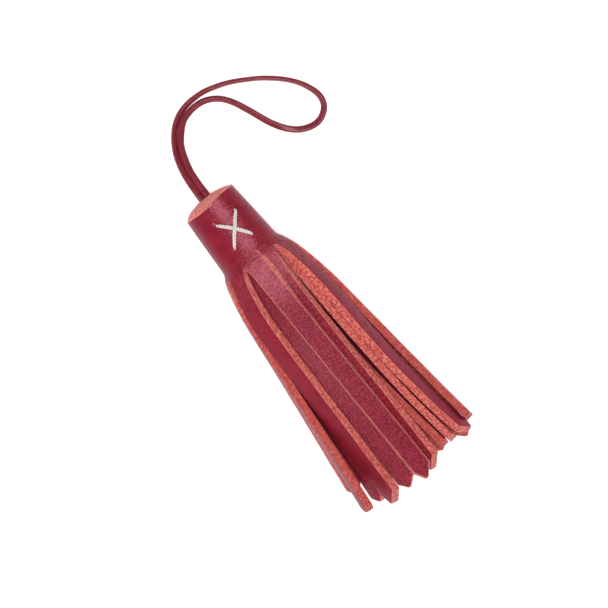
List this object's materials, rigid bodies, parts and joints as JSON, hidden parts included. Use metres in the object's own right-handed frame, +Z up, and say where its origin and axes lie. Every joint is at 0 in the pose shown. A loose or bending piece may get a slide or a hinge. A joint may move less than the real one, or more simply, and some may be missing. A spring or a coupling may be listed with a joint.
{
  "type": "leather key tassel",
  "caption": "Rolled leather tassel with a round head, a spread fringe of flat strips with pointed ends, a cross-stitched seam and a leather loop, lying flat.",
  "frame": {"origin": "on the surface the tassel lies on, under the middle of the roll's box, the loop left out", "axes": "+X along the tassel from its head to the ends of its fringe, +Z up, away from the surface it lies on, with the seam and the cross-stitch on top"},
  "size_m": [0.1426, 0.0745, 0.0225],
  "materials": {
    "red_leather": "satin, fine grain, raw cut edges",
    "lace_leather": "satin",
    "cream_thread": "waxed"
  },
  "bodies": {
    "root": {"fringed_roll": "red_leather", "loop_lace": "lace_leather", "stitch_lower": "cream_thread", "stitch_upper": "cream_thread"}
  },
  "joints": []
}
